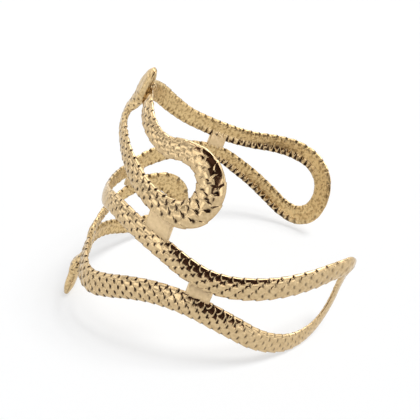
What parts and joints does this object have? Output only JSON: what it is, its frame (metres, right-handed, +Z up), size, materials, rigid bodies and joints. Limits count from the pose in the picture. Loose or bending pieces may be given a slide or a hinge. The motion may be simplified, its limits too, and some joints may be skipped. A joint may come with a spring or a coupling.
{
  "type": "snake cuff bracelet",
  "caption": "Open cuff bracelet cast as one scaly snake that loops round an oval, with a curl on each flank and a small head at each end lying over the back",
  "frame": {"origin": "middle of the floor under the resting cuff, below the centre of its bounding box", "axes": "+Z up from the floor; +X toward the open side of the cuff, along its greatest extent; +Y toward the far flank"},
  "size_m": [0.069, 0.0604, 0.0548],
  "materials": {
    "gold_metal": "polished pale gold-coloured casting with raised scales"
  },
  "bodies": {
    "root": {"snake_cuff": "gold_metal"}
  },
  "joints": []
}
